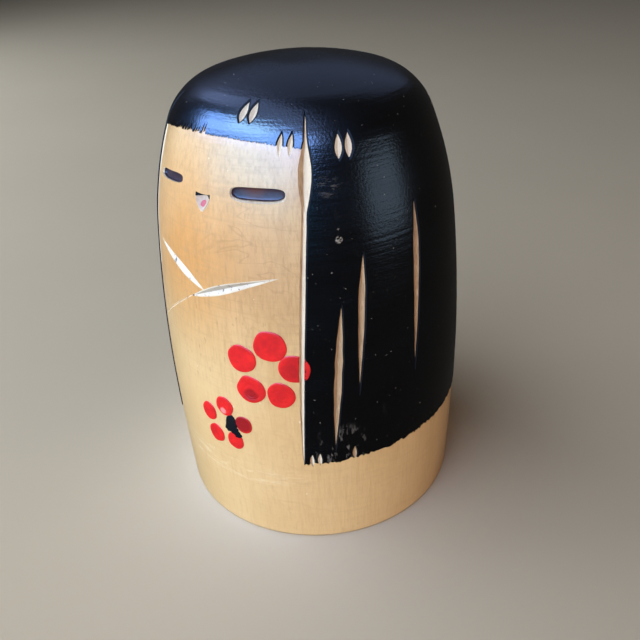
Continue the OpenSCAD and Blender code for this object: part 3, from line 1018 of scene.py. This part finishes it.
# Edges sharper than these are shaded as edges, on turned pieces and on the others
TURNED_EDGE = 35
PIECE_EDGE = 40
# Faces whose normals point lower than this look down; on the lapels they take a greyer white as painted
# shade
LOOKS_DOWN = -0.05


def shade(mesh, materials, kinds, edge):
    """Smooth shading, with a material for each face: the last one where its kind is beyond it."""
    mesh.materials.clear()
    for material in materials:
        mesh.materials.append(material)
    kinds = np.minimum(kinds, len(materials) - 1)
    mesh.polygons.foreach_set("material_index", kinds.astype(np.int32))
    mesh.polygons.foreach_set("use_smooth", np.ones(len(mesh.polygons), bool))
    mesh.set_sharp_from_angle(angle=math.radians(edge))


def finish_turned(thing, lifts, materials):
    """Smooth shading that follows the true wall on turned faces, with sharp rims at the cuts.

    The first material is for turned faces, and the others for the cuts, by cut_kind.
    """
    mesh = thing.data
    turned = is_turned(mesh, lifts)
    under = read(mesh.polygons, "center")[:, 2] / MM < BASE_EDGE_R
    shade(mesh, materials, np.where(turned | under, 0, cut_kind(mesh)), TURNED_EDGE)
    totals = read(mesh.polygons, "loop_total", 1, np.int32).ravel()
    corner_face = np.repeat(np.arange(len(totals)), totals)
    corner_vertex = read(mesh.loops, "vertex_index", 1, np.int32).ravel()
    places = read(mesh.vertices, "co") / MM
    turns = np.degrees(np.arctan2(places[:, 0], -places[:, 1]))
    true_normals = normal_at(turns, np.minimum(places[:, 2], HEIGHT))
    wanted = np.zeros((len(mesh.loops), 3))
    chosen = turned[corner_face]
    wanted[chosen] = true_normals[corner_vertex[chosen]]
    mesh.normals_split_custom_set(wanted.tolist())


def stands_for(thing, node):
    """Puts a finished piece in the place of its CAD node."""
    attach(thing, "root")
    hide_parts(node)


def lay_on(thing, node, slot, *materials):
    """Finishes a coat of paint. Faces that look down take the second material, if any, which on the lapels
    is a greyer white as painted shade.
    """
    down = read(thing.data.polygons, "normal")[:, 2] < LOOKS_DOWN
    shade(thing.data, materials, down, PIECE_EDGE)
    stands_for(thing, node)


# ---------------- build: wood and hair

def turned_block(name):
    """The plain turned block, before any cut."""
    wall = outline()
    foot_r = wall[0][0]
    centre = np.array([foot_r - BASE_EDGE_R, BASE_EDGE_R])
    corner = [centre + BASE_EDGE_R * direction(lean) for lean in (-90, -60, -30)]
    inner = [(foot_r * k / 12, 0.0) for k in range(0, 12)]
    return lathe(name, np.vstack([inner, corner, wall]))


# The lacquer's shell starts this high, below its lower edge
SHELL_FOOT_Z = 17.0


def lacquer_shell(name):
    """The lacquer as a closed shell over the wall, before its edges are cut."""
    outer = np.array([p for p in outline(LACQUER) if p[1] > SHELL_FOOT_Z])
    inner = np.array([p for p in outline() if p[1] > SHELL_FOOT_Z])[::-1]
    rows = np.vstack([outer[:-1], inner[1:]])
    points = turned_points(rows)
    faces = []
    outer_rows = len(outer) - 1
    for k in range(len(rows) - 1):
        if k != outer_rows - 1:
            faces += band(k * SEGMENTS, (k + 1) * SEGMENTS, SEGMENTS)
    faces += band((len(rows) - 1) * SEGMENTS, 0, SEGMENTS)
    poles = len(points)
    points += [(0, 0, outer[-1][1]), (0, 0, inner[0][1])]
    for i in range(SEGMENTS):
        j = (i + 1) % SEGMENTS
        rim = (outer_rows - 1) * SEGMENTS
        faces.append((poles, rim + i, rim + j))
        rim = outer_rows * SEGMENTS
        faces.append((poles + 1, rim + j, rim + i))
    return outward(make(name, points, faces))


WOOD = turned_wood()
BARE = cut_wood("bare_wood", (0.62, 0.5, 0.36), (0.5, 0.38, 0.26), (0.74, 0.64, 0.5))
PALE = cut_wood("pale_wood", (0.84, 0.835, 0.8), (0.74, 0.71, 0.64), (0.88, 0.87, 0.85), 0.3)
BLACK = black_lacquer()
DARK = brushed_paint("dark_paint", (0.004, 0.0035, 0.0035), (0.009, 0.007, 0.006), 0.7)

cuts = hair_cuts()
blank = turned_block("blank")

body = copy_of(blank, "turned_body")
combine(body, cuts, keep=True)
collar_cutters = (right_lapel_cut(), left_lapel_cut(), fold_cut())
face_cutters = (eye_cut("right"), eye_cut("left"), mouth_cut())
for cutter in collar_cutters + face_cutters:
    combine(body, cutter)
finish_turned(body, (0.0,), [WOOD, BARE, PALE])
stands_for(body, "body")

hair = lacquer_shell("hair_coat")
combine(hair, window_cut())
combine(hair, foot_cut())
combine(hair, cuts, keep=True)
finish_turned(hair, (LACQUER,), [BLACK, DARK])
stands_for(hair, "hair_lacquer")

# ---------------- build: face and collar

INK = eye_ink()
WHITE = chalk_white("white_paint", (0.76, 0.765, 0.74), (0.66, 0.64, 0.59))
# A greyer copy of the white paint, for the lapels' faces that look down: painted shade
SHADED_WHITE = chalk_white("shaded_white_paint", (0.5, 0.5, 0.48), (0.36, 0.35, 0.33))
MOUTH_WHITE = brushed_paint("mouth_white", (0.72, 0.68, 0.66), (0.5, 0.42, 0.4), 0.5, 700)
PINK = brushed_paint("pink_paint", (0.6, 0.1, 0.17), (0.68, 0.2, 0.26), 0.5, 900)

for eye_name in EYES:
    lay_on(eye_paint(eye_name), "eye_" + eye_name, "eye_gloss", INK)

white = mouth_coat("mouth_white_coat", 0.0, MOUTH_COAT)
line = copy_of(white, "mouth_line")
combine(white, slab(MOUTH_Z - LIP_LINE_H, HEIGHT))
combine(line, slab(MOUTH_Z - LIP_LINE_H, HEIGHT), "INTERSECT")
lay_on(white, "mouth_white", "white_paint", MOUTH_WHITE)
lay_on(line, "mouth_lip_line", "dark_paint", DARK)


# A dab's rings, from under its middle around its rim to its top: size, lift as a share of its
# thickness (none underneath), share of the well
DAB_PROFILE = (
    (0.02, None, 0), (0.6, None, 0), (1.0, None, 0), (1.0, 0.35, 0), (0.985, 0.62, 0),
    (0.95, 0.85, 0), (0.88, 1.0, 0), (0.74, 0.97, 0), (0.6, 0.94, 0), (0.54, 0.94, 1),
    (0.48, 0.93, 0), (0.3, 0.92, 0), (0.24, 0.92, 1), (0.18, 0.92, 0), (0.02, 0.92, 0),
)
DAB_STEPS = 72
DAB_ROOT = 0.02
WELL_DROP = 1.2
PHASE_RANGE = 6.3


def patch(name, turn, z, across_r, up_r, thickness, seed, tilt=0.0, rough=0.04, base=-DAB_ROOT,
          lobes=5, well=0.0):
    """A domed dab of paint on the wall, with a hand-painted outline.

    well sinks a shallow ring into the dab, a little below its middle.
    """
    rng = random.Random(SEED * 77 + seed)
    a = np.linspace(0, 2 * math.pi, DAB_STEPS, endpoint=False)
    edge = np.ones_like(a)
    for k in range(2, lobes + 2):
        edge += rough / k ** 0.5 * rng.uniform(-1, 1) * np.cos(k * a + rng.uniform(0, PHASE_RANGE))
    c, s = direction(tilt)
    rings = []
    for size, lift, sunk in DAB_PROFILE:
        x = across_r * edge * size * np.cos(a)
        y = up_r * (edge * size * np.sin(a) - WELL_DROP * well * (1 - size))
        height = base if lift is None else base + DAB_ROOT + (lift - sunk * well) * thickness
        rings.append(near_wall(turn, z, x * c - y * s, x * s + y * c, height))
    return lofted(name, rings)


# The tongue's dab lies on the white coat
tongue_cap = mouth_coat("tongue", MOUTH_COAT - OVERLAP, MOUTH_COAT + TONGUE_COAT)
pillar = patch("cut", MOUTH_TURN - 0.1, MOUTH_Z - 1.65, 0.5, 0.55, 2.0, 5, base=-2.0, rough=0.06)
combine(tongue_cap, pillar, "INTERSECT")
lay_on(tongue_cap, "mouth_dot", "pink_paint", PINK)

# Each lapel's coat is white, with its faces that look down in the greyer white as painted shade
for side, cut in (("right", right_lapel_cut), ("left", left_lapel_cut)):
    lapel = copy_of(blank, side + "_lapel_coat")
    combine(lapel, cut(), "INTERSECT")
    combine(lapel, cut(LAPEL_COAT))
    if side == "right":
        combine(lapel, left_lapel_cut())
    lay_on(lapel, f"collar_{side}_lapel", "white_paint", WHITE, SHADED_WHITE)

# ---------------- build: flowers

RED = flower_red()
# Each hand-painted petal: half width, half height, shift across and up, ring well
LARGE_PETALS = (
    (2.8, 2.8, 0.0, 0.1, 0.1),
    (2.98, 3.0, 0.1, 0.2, 0.0),
    (2.72, 2.8, -0.15, -0.25, 0.0),
    (2.78, 2.85, 0.1, -0.6, 0.35),
    (2.55, 2.7, -0.2, -0.2, 0.15),
)
SMALL_PETALS = (
    (1.95, 2.15, 0.15, 0.0, 0.2),
    (1.8, 2.1, 0.0, -0.15, 0.0),
    (1.9, 2.1, -0.15, -0.15, 0.0),
    (1.85, 1.95, -0.5, 0.05, 0.0),
    (1.75, 1.95, 0.15, 0.0, 0.0),
)


def paint_flower(kind, petals, seed):
    """The five petals of a flower, on the places of their CAD nodes."""
    middles = [whole_place(f"{kind}_flower_petal_{i + 1}") for i in range(5)]
    for i, (across_r, up_r, across, up, well) in enumerate(petals):
        turn, z = middles[i]
        turn += math.degrees(across / BELLY_R)
        petal = patch(f"{kind}_petal_{i + 1}", turn, z + up, across_r, up_r, DAB, seed + i, well=well)
        if kind == "large" and i == 0:
            # It runs on over the lacquer beyond the side lock
            over = patch("cut", turn, z + up, across_r, up_r, DAB / 2, seed + i, base=LACQUER - OVERLAP)
            combine(over, window_cut())
            combine(petal, over, "UNION")
            combine(petal, cuts, keep=True)
        lay_on(petal, f"{kind}_flower_petal_{i + 1}", "red_paint", RED)


paint_flower("large", LARGE_PETALS, 200)
paint_flower("small", SMALL_PETALS, 300)

blot_turn, blot_z = place_of("flower_blot")
blot = patch("blot", blot_turn + 0.2, blot_z + 0.35, 1.25, 1.9, 0.3, 401, tilt=8, rough=0.16, lobes=9)
# Drops that run out of the blot: shift across and up, radius
BLOT_DROPS = ((-0.55, -0.6, 0.9), (0.2, 1.9, 0.7), (1.25, -1.7, 0.75), (0.7, -1.0, 0.9))
DROP_THICKNESS = 0.27
for across, up, radius in BLOT_DROPS:
    turn = blot_turn + math.degrees(across / BELLY_R)
    seed = int(90 * radius + 10 * up)
    drop = patch("cut", turn, blot_z + up, radius, radius, DROP_THICKNESS, seed, rough=0.16, lobes=7)
    combine(blot, drop, "UNION")
lay_on(blot, "flower_blot", "dark_paint", DARK)

for helper in (cuts, blank):
    bpy.data.objects.remove(helper)

# ---------------- floor, light and camera

# The camera: its turn, distance and height, where it looks, and its lens by its sensor's width
VIEW_TURN = 39.22
CAMERA_DISTANCE = 129.4
CAMERA_HEIGHT = 114.7
CAMERA_PAN = 0.684
CAMERA_PITCH = 32.18
CAMERA_ROLL = -3.166
LENS_PER_SENSOR = 1.125
SENSOR_WIDTH = 36
FLOOR_HALF = 2500
# Height that the lights point at, as a share of the doll's
LIT_HEIGHT = 0.85


def pale_floor():
    """A wide plain floor, left out of reflections."""
    corners = ((-1, -1), (1, -1), (1, 1), (-1, 1))
    floor = make("floor", [(x * FLOOR_HALF, y * FLOOR_HALF, 0) for x, y in corners], [(0, 1, 2, 3)])
    material, n = shader("floor_pale")
    mottle = n.noise(n.place(), 12, 3)
    n.link(n.mix(mottle, (0.62, 0.6, 0.545), (0.67, 0.65, 0.595)), n.surface["Base Color"])
    n.give(n.surface["Roughness"], 0.8)
    n.give(n.surface["Specular IOR Level"], 0.0)
    floor.data.materials.append(material)
    floor.visible_glossy = False


def window(name, turn, elevation, half_turn, half_height, radiance, colour, lights, distance=0.6):
    """A rectangle of light seen from the doll in a given direction, and that many degrees wide.

    lights says what it is for: "tone" brightens the surfaces and "gloss" shows in their shine.
    """
    light = bpy.data.lights.new(name, "AREA")
    light.shape = "RECTANGLE"
    light.size = 2 * distance * math.tan(math.radians(half_turn))
    light.size_y = 2 * distance * math.tan(math.radians(half_height))
    light.energy = radiance * math.pi * light.size * light.size_y
    light.color = colour
    lamp = add(name, light)
    target = Vector((0, 0, HEIGHT * MM * LIT_HEIGHT))
    t, e = math.radians(turn), math.radians(elevation)
    away = Vector((math.sin(t) * math.cos(e), -math.cos(t) * math.cos(e), math.sin(e)))
    lamp.location = target + distance * away
    lamp.rotation_euler = (target - lamp.location).to_track_quat("-Z", "Y").to_euler()
    lamp.visible_diffuse = lights == "tone"
    lamp.visible_glossy = lights == "gloss"


def photo_camera():
    """The camera beside and above the doll, looking down at it."""
    turn, pan = math.radians(VIEW_TURN), math.radians(CAMERA_PAN)
    pitch, roll = math.radians(CAMERA_PITCH), math.radians(CAMERA_ROLL)
    heading = turn - pan
    flat = math.cos(pitch)
    ahead = Vector((-math.sin(heading) * flat, math.cos(heading) * flat, -math.sin(pitch)))
    level = Vector((math.cos(heading), math.sin(heading), 0))
    above = level.cross(ahead)
    right = level * math.cos(roll) + above * math.sin(roll)
    up = above * math.cos(roll) - level * math.sin(roll)
    data = bpy.data.cameras.new("camera")
    data.sensor_width = SENSOR_WIDTH
    data.lens = data.sensor_width * LENS_PER_SENSOR
    data.clip_start = 0.005
    camera = add("camera", data)
    camera.matrix_world = Matrix((right, up, -ahead)).transposed().to_4x4()
    camera.location = (
        CAMERA_DISTANCE * MM * math.sin(turn),
        -CAMERA_DISTANCE * MM * math.cos(turn),
        CAMERA_HEIGHT * MM,
    )
    bpy.context.scene.camera = camera


pale_floor()
window("key", -8, 6, 35, 13, 4.3, (1.0, 0.99, 0.94), "tone")
window("left_fill", -72, 0, 24, 20, 5.2, (1.0, 0.99, 0.93), "tone")
window("right_fill", 78, -4, 30, 14, 2.8, (1.0, 0.5, 0.2), "tone")
window("overhead", -22, 56, 30, 20, 1.7, (1.0, 0.98, 0.96), "tone")
window("front_window", -3, 17, 35, 8, 5.5, (0.03, 0.55, 1.0), "gloss")
window("sky", -14, 47, 46, 15, 18.0, (0.2, 0.41, 1.0), "gloss")
window("bright_sky", -22, 52, 18, 7, 4.6, (0.6, 1.0, 0.2), "gloss", 0.55)
window("high_sky", -30, 78, 60, 12, 1.9, (0.35, 0.5, 1.0), "gloss")
window("behind", -140, 40, 35, 20, 0.3, (0.4, 0.55, 1.0), "gloss")
window("side_sheen", 100, 4, 15, 12, 1.3, (0.55, 0.75, 1.0), "gloss")
photo_camera()

world = bpy.data.worlds.new("room")
world.use_nodes = True
background = world.node_tree.nodes["Background"].inputs
background["Color"].default_value = (0.6, 0.56, 0.5, 1)
background["Strength"].default_value = 0.06
bpy.context.scene.world = world
bpy.context.scene.view_settings.view_transform = "Standard"
